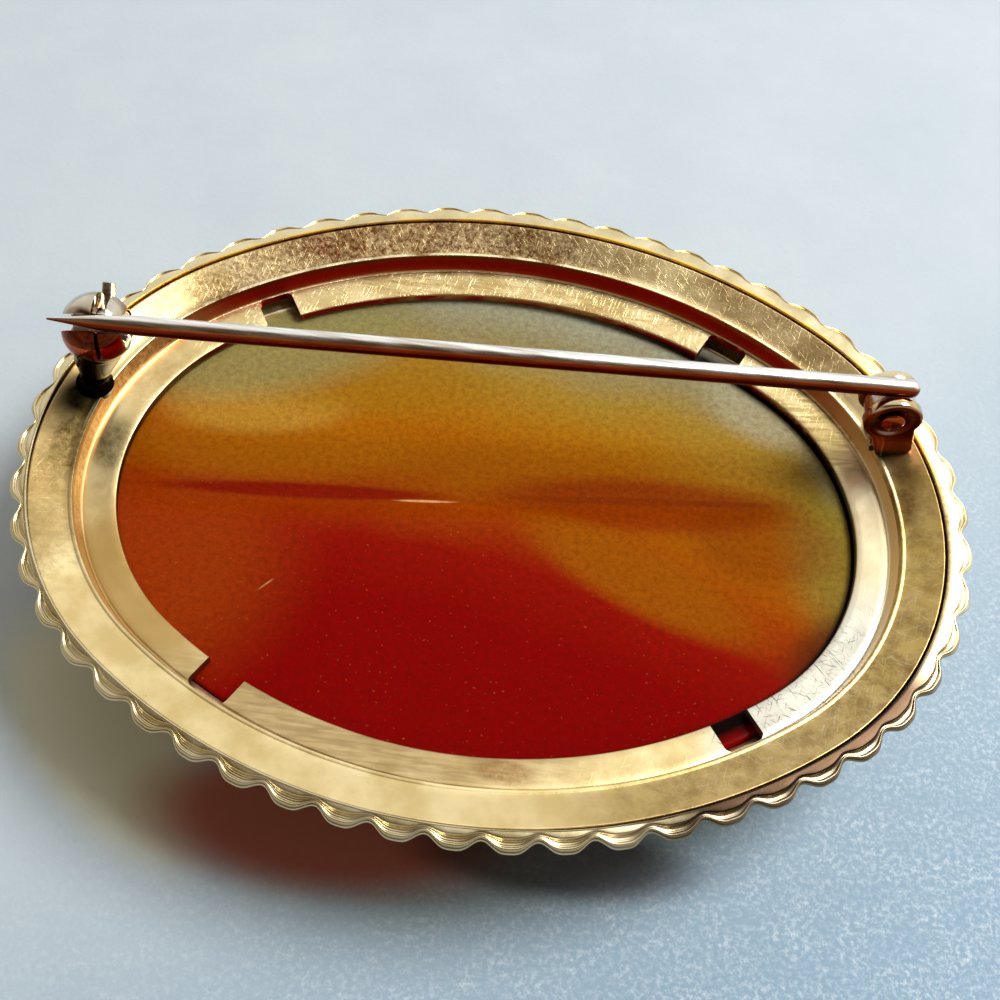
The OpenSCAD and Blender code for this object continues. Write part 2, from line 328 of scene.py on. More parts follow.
# Stains, and patches of painted shade and painted highlight: tint, centre, reach, degrees, amount, and how the
# patch breaks up
ringStainsAndShade = [
    ("#66381A", (-6.0, 16.0), (15.0, 3.4), 2.0, 1.0, "speckled"),     # handling grime on the far side
    ("#5A2C10", (-14.0, 12.4), (7.0, 2.4), 30.0, 0.85, "speckled"),
    ("#A06A30", (15.0, 12.0), (8.0, 3.0), -38.0, 0.4, "speckled"),
    ("#B0903E", (22.0, -3.0), (4.5, 12.0), -8.0, 0.7, "whole"),
    ("#B89C5E", (14.0, -14.0), (12.5, 6.0), 30.0, 0.8, "whole"),
    ("#A88A55", (-22.6, -2.0), (3.2, 8.5), 0.0, 0.75, "whole"),
    ("#150C06", (-21.9, 2.2), (2.0, 1.5), 25.0, 1.0, "whole"),        # painted shadow of the catch on the ring
    # more painted shadow of the catch, broken into speckles
    ("#5E4A1C", (-22.0, -0.6), (1.5, 2.9), -6.0, 0.95, "speckled"),
    ("#5A2A0C", (21.0, 1.6), (1.4, 1.6), 10.0, 0.7, "speckled"),
    ("#5E4018", (20.5, -3.5), (6.0, 13.0), -8.0, 0.5, "clouded"),
    ("#6A4A22", (14.5, -13.0), (12.0, 6.5), 35.0, 0.45, "clouded"),
    ("#FFF6DC", (17.5, -9.0), (9.0, 14.0), -40.0, 0.25, "scratched"),
    ("#7A6A40", (-21.8, -3.5), (3.6, 9.0), 0.0, 0.5, "clouded"),
    ("#4A2A10", (15.0, 12.8), (7.0, 2.6), -38.0, 0.25, "clouded"),
]
tabStainsAndHighlight = [
    ("#DCDACC", (16.2, -8.2), (8.5, 3.4), 50.0, 0.95, "whole"),       # painted highlight: the right tab painted nearly white where it catches the light
    ("#4A483C", (15.6, -9.2), (7.5, 3.6), 50.0, 0.95, "scratched"),
    ("#F0E8CE", (19.4, 0.5), (2.4, 7.0), -5.0, 0.5, "whole"),
    ("#A8885C", (-5.5, -13.4), (13.5, 3.4), -5.0, 0.5, "whole"),
    ("#8A744C", (-5.5, -13.4), (13.5, 3.4), -5.0, 0.5, "streaked"),
    ("#B08A4A", (-17.2, -7.6), (3.6, 6.5), 35.0, 0.8, "whole"),
    ("#57430F", (-20.4, 0.2), (1.2, 2.0), 0.0, 0.6, "speckled"),
    ("#8C5A24", (2.0, -15.0), (1.8, 0.8), 0.0, 0.6, "speckled"),
    ("#B08A50", (-18.3, 4.4), (2.4, 3.2), -35.0, 0.5, "speckled"),
    ("#B89458", (0.0, 13.6), (14.0, 1.6), 0.0, 0.6, "streaked"),
    ("#A0884C", (17.0, 6.5), (4.0, 5.0), -30.0, 0.7, "streaked"),
]
wallStains = [
    ("#8A5824", (-20.0, 5.5), (3.4, 5.5), -28.0, 0.9, "speckled"),
    ("#B07C40", (-21.0, -1.5), (2.5, 7.5), 0.0, 0.8, "speckled"),
]
bandStains = [
    ("#3A2C20", (16.5, -14.0), (13.0, 5.5), 38.0, 1.0, "whole"),      # tarnish round the near right
    ("#9A7C50", (23.6, -2.0), (2.5, 9.0), -6.0, 0.8, "speckled"),
]
lipStains = [
    ("#7A6A58", (16.5, -14.0), (13.0, 6.5), 38.0, 0.85, "whole"),
]
satinGilt = {
    "base": "#EDD8A2",
    "worn": "#DDC386",
    "steepByHeight": [(5.75, "#2E140A"), (5.85, "#EED0A0"), (7.0, "#EED0A0")],      # mm and tone there: painted shade at the tab ends low down, the plain pale tone above
    "steepFar": "#94170A",      # painted reflection: the wall on the far side is painted the deep red that it reflects from the stone
    "dirt": "#5E3A1A",
    "roughness": 0.33,
    "scratchDepth": 0.12,
    "farScratches": 0.22,       # added to that on the far side
    "speckleDepth": 0.6,        # of the speckles against the scratches
    "pitFrom": 0.76,            # noise above this is a pit
    "stainsAndPaintedLight": [(6.6, 7.9, ringStainsAndShade), (4.9, 6.0, tabStainsAndHighlight), (5.95, 6.85, wallStains)],
    # painted highlights along edges, on the far side only: place across the section, half width, tint
    "paintedHighlights": [(-1.96, 0.09, "#FFF0C0"), (-2.47, 0.05, "#F8E8C0")],
    "steepFrom": (0.75, 0.2),   # rise of a face's normal at which the painted steep tone starts and is full
    "darkBelow": False,         # faces turned down take the painted steep tone too
}
stampedGilt = {**satinGilt, "base": "#F0E2BA", "worn": "#DAC894",
               # painted shade and reflection on steep faces: darker low in the hollows, paler above, painted
               # yellow reflection on the far side
               "steepByHeight": [(6.0, "#7E6440"), (7.0, "#E0CDA0")], "steepFar": "#E8C468",
               "roughness": 0.26, "scratchDepth": 0.05, "farScratches": 0.0, "pitFrom": 0.78,
               # painted yellow highlight along the joint, on the far side
               "stainsAndPaintedLight": [(7.63, 7.8, bandStains), (6.9, 7.63, lipStains)], "paintedHighlights": [(0.06, 0.06, "#FFD860")]}
polishedGilt = {**satinGilt, "base": "#EFE0BC", "worn": "#D6B982",
                # painted tones on steep faces: painted shade at the foot, painted red and orange reflections of
                # the stone above
                "steepByHeight": [(7.3, "#1E0C06"), (7.7, "#B8500F"), (8.3, "#D8641C"), (9.0, "#8A1E0A"),
                                  (9.8, "#5E1006"), (11.0, "#B8562C")],
                "steepFar": "#C9A468", "roughness": 0.1, "scratchDepth": 0.03, "farScratches": 0.0,
                "pitFrom": 0.8, "stainsAndPaintedLight": [], "paintedHighlights": [], "darkBelow": True}
ballGilt = {**polishedGilt, "base": "#DDD6C6", "worn": "#B9AC92",
            # painted shade: the post black; above it the painted red reflection of the stone on the ball's
            # lower half
            "steepByHeight": [(7.3, "#0A0402"), (10.4, "#0E0503"), (10.9, "#3A0A04"), (11.4, "#8A2412"),
                              (12.0, "#B4502A"), (12.4, "#7A3018"), (12.8, "#C9B690")],
            "steepFar": "#C9AC78", "roughness": 0.07, "steepFrom": (0.82, 0.6),
            # painted shade: black round the post's foot
            "stainsAndPaintedLight": [(6.0, 7.8, [("#0C0604", (-22.0, 3.2), (6.0, 6.0), 0.0, 1.0, "whole")]),
                       # darker red-brown band on the ball's near face, just above the pin
                       (12.0, 13.6, [("#8A3A1C", (-20.9, 1.0), (3.2, 2.4), 0.0, 1.0, "whole"),
                                     ("#2A0E06", (-20.6, 1.4), (2.2, 1.6), 0.0, 0.8, "speckled")])]}


def giltBrass(name, finish):
    # gold-filled brass: satin where it is rubbed, steep faces painted with the reflections and shade they show,
    # brown dirt in pits, stains and patches of painted shade and highlight
    material, add = newMaterial(name)
    position = inMillimetres(add)
    _, y, z = add("SeparateXYZ", {0: position}).outputs
    cloud = add("TexNoise", {"Scale": 0.45, "Detail": 7.0, "Roughness": 0.6, "Vector": position})
    tone = add("ValToRGB", {"stops": [(0.36, finish["worn"]), (0.6, finish["base"])], 0: cloud})
    rise = add("SeparateXYZ", {0: add("TexCoord").outputs["Normal"]}).outputs["Z"]
    upright = calc(add, "ADD" if finish["darkBelow"] else "ABSOLUTE", rise, 0.0)
    steep = fade(add, upright, *finish["steepFrom"])
    far = fade(add, y, start=4.0, full=11.0)
    # painted reflection and shade on steep faces, by height, with a painted tone on the far side
    tones = finish["steepByHeight"]
    lowest, highest = tones[0][0], tones[-1][0]
    height = mapped(add, z, lowest, highest)
    stops = [((level - lowest) / (highest - lowest), tint) for level, tint in tones]
    steepReflectionAndShade = blended(add, far, add("ValToRGB", {"stops": stops, 0: height}), finish["steepFar"])
    colour = add("Mix", {"data_type": "RGBA", 0: steep, 6: tone, 7: steepReflectionAndShade}).outputs[2]
    speckle, speckled = noiseMask(add, position, scale=3.4, detail=9.0, roughness=0.8, low=0.3, high=0.6)
    clouded = noiseMask(add, position, scale=0.8, detail=8.0, roughness=0.75, low=0.42, high=0.62)[1]
    drawn = add("Mapping", {"vector_type": "TEXTURE", "Scale": (2.6, 0.3, 1.0), "Vector": position})
    streak = add("TexNoise", {"Scale": 1.2, "Detail": 5.0, "Distortion": 0.6, "Vector": drawn})
    streaked = mapped(add, streak, 0.38, 0.62)
    marks = None        # fine scratches that cross
    for degrees, seed in ((20.0, 0.0), (75.0, 5.0), (128.0, 11.0), (160.0, 17.0)):
        way = add("Mapping", {"vector_type": "TEXTURE", "Location": (seed, seed, seed),
            "Rotation": (0.0, 0.0, radians(degrees)), "Scale": (1.5, 0.11, 1.0), "Vector": position})
        fine = noiseMask(add, way, scale=1.6, detail=2.0, low=0.62, high=0.74)[1]
        marks = fine if marks is None else calc(add, "MAXIMUM", marks, fine)
    patterns = {"speckled": speckled, "streaked": streaked, "scratched": marks, "clouded": clouded}
    # stains and patches of painted shade and highlight, each within a band of heights
    for low, high, stainsAndPaintedLight in finish["stainsAndPaintedLight"]:
        between = bothMasks(add, calc(add, "GREATER_THAN", z, low), calc(add, "LESS_THAN", z, high))
        for tint, *patch, breakUp in stainsAndPaintedLight:
            mask = bothMasks(add, between, ovalMask(add, position, *patch))
            if breakUp != "whole":
                mask = bothMasks(add, mask, patterns[breakUp])
            colour = blended(add, mask, colour, tint)
    pits = noiseMask(add, position, scale=5.0, detail=2.0, low=finish["pitFrom"],
        high=finish["pitFrom"] + 0.06)[1]
    colour = blended(add, pits, colour, finish["dirt"])
    # painted highlights along edges, on the far side, broken up by the cloud noise
    if finish["paintedHighlights"]:
        across = add("Attribute", {"attribute_name": "across"})
        acrossMm = calc(add, "MULTIPLY", across.outputs["Fac"], 1 / mm)
        lit = bothMasks(add, fade(add, y, start=-1.0, full=7.0), mapped(add, cloud, 0.38, 0.52))
    for centre, halfWidth, tint in finish["paintedHighlights"]:
        on = calc(add, "COMPARE", acrossMm, centre, halfWidth)
        colour = blended(add, bothMasks(add, on, lit), colour, tint)
    rough = mapped(add, cloud, 0.3, 0.7, finish["roughness"] - 0.05, finish["roughness"] + 0.08)
    relief = calc(add, "MULTIPLY_ADD", speckle, finish["speckleDepth"], marks)
    least = finish["scratchDepth"]
    depth = mapped(add, far, 0.0, 1.0, least, least + finish["farScratches"])
    bump = add("Bump", {"Distance": 0.02 * mm, "Height": relief, "Strength": depth})
    finishMaterial(add, {"Metallic": 1.0, "Base Color": colour, "Roughness": rough, "Normal": bump})
    return material


pinSteel = {
    "light": "#FFFFFC",
    "dark": "#D8D0C2",
    "sides": [(0.0, "#5A1208"), (0.48, "#A83C16"), (0.68, "#D89858"), (0.85, "#FFFFFF")],  # painted reflection up its near side: dark red low down, white at the top
    "nearTilt": 0.6,            # how much facing nearwards counts in that against facing down
    "roughness": 0.24,
}
# the catch's barrel takes the same painted reflection, grey-brown low down and white at the top
catchSteel = {**pinSteel, "light": "#E8E4DC", "dark": "#B8AA98", "roughness": 0.16,
              "sides": [(0.0, "#6A5A4C"), (0.9, "#FFFFFF")]}


def polishedSteel(name, finish):
    # drawn steel wire, polished: silver, with painted reflection up its near side, warm red low down and white
    # at the top, and fine streaks along it
    material, add = newMaterial(name)
    position = inMillimetres(add)
    drawn = add("Mapping", {"vector_type": "TEXTURE", "Scale": (6.0, 0.25, 0.25), "Vector": position})
    streak = add("TexNoise", {"Scale": 1.0, "Detail": 4.0, "Roughness": 0.6, "Vector": drawn})
    tone = add("ValToRGB", {"stops": [(0.38, finish["dark"]), (0.58, finish["light"])], 0: streak})
    _, facingY, facingZ = add("SeparateXYZ", {0: add("TexCoord").outputs["Normal"]}).outputs
    turned = calc(add, "MULTIPLY_ADD", facingY, finish["nearTilt"], facingZ)
    # painted reflection by how the face turns: dark red facing near and down, white facing up
    side = add("ValToRGB", {"stops": finish["sides"], 0: mapped(add, turned, -0.5, 0.7)})
    under = fade(add, facingZ, start=-0.55, full=-0.85, least=1.0, most=0.0)
    colour = add("Mix", {"data_type": "RGBA", "blend_type": "MULTIPLY", 0: under, 6: tone, 7: side}).outputs[2]
    rough = mapped(add, streak, 0.3, 0.7, finish["roughness"] - 0.05, finish["roughness"] + 0.06)
    bump = add("Bump", {"Strength": 0.12, "Distance": 0.01 * mm, "Height": streak})
    finishMaterial(add, {"Metallic": 1.0, "Base Color": colour, "Roughness": rough, "Normal": bump})
    return material


agateLook = {
    "bands": [(0.0, "#840000"), (0.27, "#880000"), (0.38, "#920E02"), (0.47, "#A04004"), (0.53, "#A65A02"),
              (0.62, "#AA6403"), (0.7, "#AC7612"), (0.8, "#A6862C"), (0.9, "#988E62"), (1.0, "#A6A890")],
    "bandsFrom": -12.5,         # mm, from the near edge to the far one
    "bandsTo": 17.5,
    "wander": 5.0,              # mm by which slow noise shifts them
    "lean": 0.3,                # mm by which they come nearer per mm towards the right
    "mottle": "#480A02",
    "dust": "#B26A34",
    "rimShadowTint": "#0C0302",
}
# Bands, inclusions and the pin's painted reflection on top of them: tint, centre, reach, degrees and amount of
# each patch
agateMarksAndReflection = [
    ("#A03E06", (-21.0, -5.5), (13.5, 11.0), 0.0, 0.75),
    ("#B06C04", (-12.5, 1.9), (11.0, 2.8), 7.0, 0.6),
    ("#C09A38", (-13.6, 4.4), (6.5, 2.4), 8.0, 0.6),
    ("#A07010", (-8.0, 7.2), (9.5, 3.2), 4.0, 0.6),
    ("#96925C", (-14.5, 8.8), (11.0, 4.8), 18.0, 0.75),
    # painted reflection of the pin: its broad part on the right
    ("#8A2003", (8.0, 0.9), (10.5, 2.2), 4.0, 0.7),
    ("#A05A04", (8.0, -3.6), (8.5, 2.4), -24.0, 0.85),
    ("#8C8030", (20.5, -0.5), (6.0, 8.0), 0.0, 0.8),
    ("#7C3402", (14.4, -0.4), (5.0, 3.4), 0.0, 0.45),
    ("#B0AA88", (14.8, 8.4), (4.6, 3.2), -20.0, 0.7),
    ("#3A1C08", (18.8, -7.2), (4.6, 3.6), 45.0, 0.7),
    ("#8E8C6C", (19.5, 5.5), (3.6, 5.0), 20.0, 0.5),
    # painted reflection of the pin: a dark red streak, its faint end to the right, a thin painted highlight in
    # it
    ("#8A1402", (-10.4, -0.75), (9.6, 0.62), 5.0, 0.95),
    ("#7A2403", (8.5, 1.2), (9.0, 0.3), 6.0, 0.4),
    ("#E8B070", (-3.7, -0.48), (2.0, 0.1), 6.0, 0.9),
    ("#C08850", (-11.0, -6.5), (0.6, 0.06), 48.0, 0.9),
]


def bandedAgate(name):
    # agate, polished and translucent: deep red to amber bands, milky green far edge, a red lens-shaped streak
    # that is the pin's painted reflection, and a painted shadow line under the tabs' edge
    material, add = newMaterial(name)
    position = inMillimetres(add)
    drift = add("TexNoise", {"Scale": 0.09, "Detail": 2.0, "Vector": position})
    x, y, _ = add("SeparateXYZ", {0: position}).outputs
    rightSide = calc(add, "SMOOTH_MAX", x, 2.0, 4.0)
    lean = calc(add, "MULTIPLY_ADD", rightSide, agateLook["lean"], -0.6)
    wavy = calc(add, "MULTIPLY_ADD", drift, agateLook["wander"], calc(add, "ADD", y, lean))
    band = mapped(add, wavy, agateLook["bandsFrom"], agateLook["bandsTo"])
    colour = add("ValToRGB", {"stops": agateLook["bands"], 0: band})
    for tint, *patch in agateMarksAndReflection:
        colour = blended(add, ovalMask(add, position, *patch), colour, tint)
    mottled = noiseMask(add, position, scale=3.0, detail=8.0, roughness=0.8, low=0.4, high=0.62, most=0.4)[1]
    colour = blended(add, mottled, colour, agateLook["mottle"])
    grain, dusty = noiseMask(add, position, scale=5.0, detail=4.0, low=0.66, high=0.74, most=0.5)
    colour = blended(add, dusty, colour, agateLook["dust"])
    # painted shadow line under the tabs' edge, on the right side only
    rim = add("Attribute", {"attribute_name": "rimLine"})
    rightward = fade(add, x, start=2.0, full=12.0)
    colour = blended(add, bothMasks(add, rim.outputs["Fac"], rightward), colour, agateLook["rimShadowTint"])
    rough = mapped(add, grain, 0.0, 1.0, least=0.06, most=0.14)
    finishMaterial(add, {"IOR": 1.54, "Specular IOR Level": 0.03, "Subsurface Weight": 1.0,
        "Subsurface Radius": (1.0, 0.6, 0.4), "Subsurface Scale": 1.2 * mm, "Base Color": colour,
        "Roughness": rough})
    return material


borderMetal = giltBrass("stampedGiltBrass", stampedGilt)
ringMetal = giltBrass("satinGiltBrass", satinGilt)
hingeMetal = giltBrass("polishedGiltBrass", polishedGilt)
ballMetal = giltBrass("wornGiltBrass", ballGilt)
rivetMetal = giltBrass("copperyRivet", {**polishedGilt, "base": "#C86A30", "worn": "#8A3412",
                                        "steepByHeight": [(9.0, "#9A2C0E"), (11.0, "#B84414")]})
pinMetal = polishedSteel("polishedWire", pinSteel)
catchMetal = polishedSteel("polishedCatch", catchSteel)
stoneMaterial = bandedAgate("bandedAgate")

print("scalloped border")
border = {
    "scallops": 54,
    "stepsEach": 20,
    "roundness": 1.8,       # how full each scallop is: higher has broader tips and steeper sides
    "notchOut": 0.7,
    "scallopOut": 0.5,
    "droop": 0.1,           # fall of the lip from notch to tip
    "hollow": 0.06,
    "edgeT": 0.44,
    "cupInset": 2.75,
    "girdleZ": 3.8,
    "jointHalf": 0.035,
}


def borderSection(swell):
    # the border's cross-section at a notch (0) or a tip (1): outward distance, height, share of its own centre
    reach = border["notchOut"] + border["scallopOut"] * swell
    bandEnd = 0.43 + 0.2 * swell
    lipTop = -0.13 - border["droop"] * swell
    lipR = 0.05 + 0.035 * swell
    lipAt = reach - 0.19 - 0.1 * swell + lipR
    lipEnd = lipTop - border["edgeT"]
    cup, inner = border["girdleZ"] - oval["height"], -border["cupInset"]
    joint = border["jointHalf"]
    rows = [(joint, -0.62, 0), (joint, -0.1, 0), (joint + 0.006, -0.03, 0), (joint + 0.02, -0.008, 0),
            (joint + 0.045, 0.0, 0), (joint + 0.13, 0.0, 0.5), (0.25, -0.003, 1), (0.34, -0.008, 1),
            (bandEnd - 0.07, -0.016, 1), (bandEnd - 0.02, -0.03, 1), (bandEnd, -0.055 - 0.02 * swell, 1)]
    floorZ = lipTop - 0.02 - border["hollow"] * swell
    wide = lipAt - lipR - bandEnd
    rows += [(bandEnd + 0.12 * wide, -0.07 + 0.6 * (floorZ + 0.07), 1),
             (bandEnd + 0.25 * wide, floorZ + 0.015, 1), (bandEnd + 0.5 * wide, floorZ, 1),
             (bandEnd + 0.75 * wide, floorZ + 0.02, 1),
             (bandEnd + 0.92 * wide, lipTop - lipR - 0.02 * swell, 1)]
    for degrees in (165, 135, 110, 85, 60, 35, 10):
        a = radians(degrees)
        rows.append((lipAt + lipR * cos(a), lipTop - lipR + lipR * sin(a), 1))
    rows += [(reach - 0.12, lipTop - 0.12, 1), (reach - 0.1, lipTop - 0.14, 1),
             (reach - 0.05, lipTop - 0.15, 1), (reach - 0.015, lipTop - 0.18, 1), (reach, lipTop - 0.24, 1),
             (reach - 0.005, lipTop - 0.32, 1), (reach - 0.04, lipEnd + 0.04, 1), (reach - 0.12, lipEnd, 1),
             (0.5 * reach, -0.98 - 0.1 * swell, 1), (-0.05, -1.43, 1), (-0.6, -2.08, 0.8), (-1.6, -3.3, 0.4)]
    rows += [(inner - 0.1, cup - 1.06, 0), (inner - 0.22, cup - 1.04, 0), (inner - 0.29, cup - 0.95, 0),
             (inner - 0.32, cup - 0.82, 0), (inner - 0.2, cup - 0.5, 0), (inner, cup - 0.05, 0),
             (inner, cup + 1.05, 0), (inner + 0.35, cup + 0.9, 0), (-0.7, -1.7, 0)]
    return rows


def sectionObject(name, rows):
    mesh = bpy.data.meshes.new(name)
    mesh.from_pydata([(out * mm, high * mm, share) for out, high, share in rows], [], [])
    return addObject(name, mesh)


def ovalObject(name, count):
    curve = bpy.data.curves.new(name, "CURVE")
    curve.dimensions = "3D"
    spline = curve.splines.new("POLY")
    spline.points.add(count - 1)
    for k in range(count):
        x, y = ovalAt(k / count, 0.0)
        spline.points[k].co = (x * mm, y * mm, 0.0, 1.0)
    spline.use_cyclic_u = True
    return addObject(name, curve)


sweepInputs = [("Oval", "Object"), ("Notch section", "Object"), ("Tip section", "Object"), ("Scallops", "Int"),
               ("Steps each", "Int"), ("Section points", "Int"), ("Roundness", "Float"), ("Height", "Float"),
               ("Ring centre", "Vector"), ("Metal", "Material")]
cutInputs = [("Cutter", "Object"), ("Gaps", "Object"), ("Waviness", "Float"), ("Dents", "Float")]


def newGroup(name, inputs):
    # geometry tree with these inputs: the tree, its adder and the sockets that give the inputs
    tree = bpy.data.node_groups.new(name, "GeometryNodeTree")
    for label, kind in [("Geometry", "Geometry")] + inputs:
        tree.interface.new_socket(label, in_out="INPUT", socket_type="NodeSocket" + kind)
    tree.interface.new_socket("Geometry", in_out="OUTPUT", socket_type="NodeSocketGeometry")
    return tree, nodeAdder(tree), tree.nodes.new("NodeGroupInput").outputs


def finishGroup(add, geometry, metal):
    smooth = add("GeometryNodeSetShadeSmooth", {"Geometry": geometry})
    real = add("GeometryNodeRealizeInstances", {"Geometry": smooth})
    add("NodeGroupOutput", {0: add("GeometryNodeSetMaterial", {"Geometry": real, "Material": metal})})


def sweepTree():
    # sweeps a section that swings between two shapes round the oval
    tree, add, given = newGroup("scallopSweep", sweepInputs)
    around = calc(add, "MULTIPLY", given["Scallops"], given["Steps each"])
    rows = calc(add, "ADD", around, 1.0)
    columns = calc(add, "ADD", given["Section points"], 1.0)
    grid = add("GeometryNodeMeshGrid", {"Vertices X": rows, "Vertices Y": columns})
    index = add("GeometryNodeInputIndex")
    column = calc(add, "MODULO", calc(add, "MODULO", index, columns), given["Section points"])
    row = calc(add, "FLOOR", calc(add, "DIVIDE", index, columns))
    share = calc(add, "FRACT", calc(add, "DIVIDE", row, around))
    path = add("GeometryNodeObjectInfo", {"Object": given["Oval"]})
    onPath = add("GeometryNodeSampleCurve", {"mode": "FACTOR", "Curves": path.outputs["Geometry"],
        "Factor": share})
    outward = add("VectorMath", {"operation": "CROSS_PRODUCT", 1: (0.0, 0.0, 1.0),
        0: onPath.outputs["Tangent"]})
    phase = calc(add, "MULTIPLY", calc(add, "MULTIPLY", share, given["Scallops"]), pi)
    wave = calc(add, "SINE", phase)
    notch = calc(add, "SUBTRACT", 1.0, calc(add, "MULTIPLY", wave, wave))
    swell = calc(add, "SUBTRACT", 1.0, calc(add, "POWER", notch, given["Roundness"]))
    here = add("GeometryNodeInputPosition")
    shapes = []
    for name in ("Notch section", "Tip section"):
        section = add("GeometryNodeObjectInfo", {"Object": given[name]})
        shapes.append(add("GeometryNodeSampleIndex", {"data_type": "FLOAT_VECTOR",
            "Geometry": section.outputs["Geometry"], "Value": here, "Index": column}))
    mixed = add("Mix", {"data_type": "VECTOR", 0: swell, 4: shapes[0], 5: shapes[1]}).outputs[1]
    across, rise, ownCentre = add("SeparateXYZ", {0: mixed}).outputs
    out = add("VectorMath", {"operation": "SCALE", 0: outward, "Scale": across})
    flat = add("VectorMath", {"operation": "ADD", 0: onPath.outputs["Position"], 1: out})
    ringShare = calc(add, "SUBTRACT", 1.0, ownCentre)
    shift = add("VectorMath", {"operation": "SCALE", 0: given["Ring centre"], "Scale": ringShare})
    flat = add("VectorMath", {"operation": "ADD", 0: flat, 1: shift})
    lift = add("CombineXYZ", {"Z": calc(add, "ADD", rise, given["Height"])})
    spot = add("VectorMath", {"operation": "ADD", 0: flat, 1: lift})
    placed = add("GeometryNodeSetPosition", {"Geometry": grid.outputs["Mesh"], "Position": spot})
    kept = add("GeometryNodeStoreNamedAttribute", {"Name": "across", "Geometry": placed, "Value": across})
    welded = add("GeometryNodeMergeByDistance", {"Distance": 1e-7, "Geometry": kept})
    finishGroup(add, welded, given["Metal"])
    return tree


def bakeNodes(name, tree, inputs):
    # runs a tree once on its helper objects, keeps the result as a plain mesh and drops the helpers
    host = addObject(name + "Host", bpy.data.meshes.new(name + "Host"))
    modifier = host.modifiers.new(name, "NODES")
    modifier.node_group = tree
    known = {item.name: item.identifier for item in tree.interface.items_tree if item.in_out == "INPUT"}
    for key, value in inputs.items():
        modifier[known[key]] = value
    mesh = evaluatedMesh(host)
    mesh.name = name
    helpers = {value for value in inputs.values() if isinstance(value, bpy.types.Object)}
    for helper in (host, *helpers):
        bpy.data.objects.remove(helper)
    faceOutwards(mesh)
    return addObject(name, mesh)


notchRows, tipRows = borderSection(0.0), borderSection(1.0)
scallopSweep = sweepTree()
sweepShared = {
    "Scallops": border["scallops"], "Height": oval["height"] * mm,
    "Ring centre": (oval["ringOff"] * mm, oval["ringOff"] * mm, 0.0)}
borderPiece = bakeNodes("scallopedEdge", scallopSweep, {
    **sweepShared, "Oval": ovalObject("ovalLine", border["scallops"] * border["stepsEach"]),
    "Notch section": sectionObject("notchSection", notchRows),
    "Tip section": sectionObject("tipSection", tipRows), "Steps each": border["stepsEach"],
    "Section points": len(tipRows), "Roundness": border["roundness"], "Metal": borderMetal})
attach(borderPiece, "brooch")
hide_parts("scalloped_border")

print("stone")
stone = {
    "height": 5.0,
    "girdle": 1.2,
    "inset": 2.85,
    "bevel": 0.12,
    "around": 240,
    "bevelSteps": 4,
    "domeRings": 30,
    "domeEnd": 82,
    # rings on the flat back: inset, and how dark the painted shadow line under the ring's edge is there
    "rim": [(4.3, 0.0), (4.15, 0.4), (4.08, 1.0), (3.9, 1.0), (3.6, 1.0), (3.3, 0.5)],
}


def stonePiece():
    height, bevel, girdleZ = stone["height"], stone["bevel"], stone["height"] - stone["girdle"]
    # share of the oval, inset beyond the stone's own, height, darkness of the painted shadow line
    rows = [(share, 1.0, height, 0.0) for share in (0.0, 0.6)]
    rows += [(1.0, inset - stone["inset"], height, dark) for inset, dark in stone["rim"]]
    for a in angles(0, 90, stone["bevelSteps"]):
        rows.append((1.0, bevel * (1 - sin(a)), height - bevel * (1 - cos(a)), 0.0))
    rows.append((1.0, 0.0, girdleZ + 0.1, 0.0))
    top = sin(radians(stone["domeEnd"]))
    for t in angles(0, stone["domeEnd"], stone["domeRings"]):
        rows.append((cos(t), 0.0, girdleZ * (1 - sin(t) / top), 0.0))
    rows.append((0.0, 0.0, 0.0, 0.0))
    count = stone["around"]
    vertices = []
    for share, inset, z, _ in rows:
        for i in range(count):
            x, y = ovalAt(i / count, stone["inset"] + inset)
            vertices.append(((x * share + oval["ringOff"]) * mm, (y * share + oval["ringOff"]) * mm, z * mm))
    piece = addMesh("stone", vertices, ringFaces(count, len(rows)), stoneMaterial)
    line = piece.data.attributes.new("rimLine", "FLOAT", "POINT")
    line.data.foreach_set("value", [row[3] for row in rows for _ in range(count)])
    faceOutwards(piece.data)
    return piece


stoneBody = stonePiece()
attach(stoneBody, "brooch")
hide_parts("agate")


def softEdges(piece, width, degrees, sharpAbove=38):
    # rounds the piece's edges over and makes the modifiers' result its own mesh
    rounded = piece.modifiers.new("edges", "BEVEL")
    rounded.width = width * mm
    rounded.segments = 2
    rounded.limit_method = "ANGLE"
    rounded.angle_limit = radians(degrees)
    mesh = evaluatedMesh(piece)
    piece.modifiers.clear()
    piece.data = mesh
    mesh.polygons.foreach_set("use_smooth", [True] * len(mesh.polygons))
    mesh.set_sharp_from_angle(angle=radians(sharpAbove))


def softCopy(node, name, material, width):
    # copy of a CAD piece with its edges rounded over
    mesh = nodes[node].data.copy()
    mesh.name = name
    mesh.materials.clear()
    mesh.materials.append(material)
    faceOutwards(mesh, weld=1e-7)
    piece = addObject(name, mesh)
    softEdges(piece, width, degrees=40)
    return piece


print("back ring")
ring = {
    "slope": 0.3913,
    "run": 1.84,
    "stepsEach": 10,
    "waviness": 0.05,       # mm, slow unevenness of the hand-finished sheet
    "dents": 0.012,
    # gaps between the tabs: far or near side, degrees off its middle, width
    "gaps": [(1, 28.5, 2.4), (1, -31.6, 2.0), (-1, 27.5, 2.2), (-1, -30.7, 2.1)],
    "gapFrom": 2.33,
    "cornerR": 0.34,
    "cornerSteps": 4,
    "cutTo": 3.0,           # how far out a gap's cutter reaches
    "cutZ": (-3.0, -1.62),
    "tab": (2.49, 3.9),     # insets where the tab's face starts and ends
    "tabZ": -1.87,
    "tabFall": 0.16,
    "sharpAbove": 50,
}


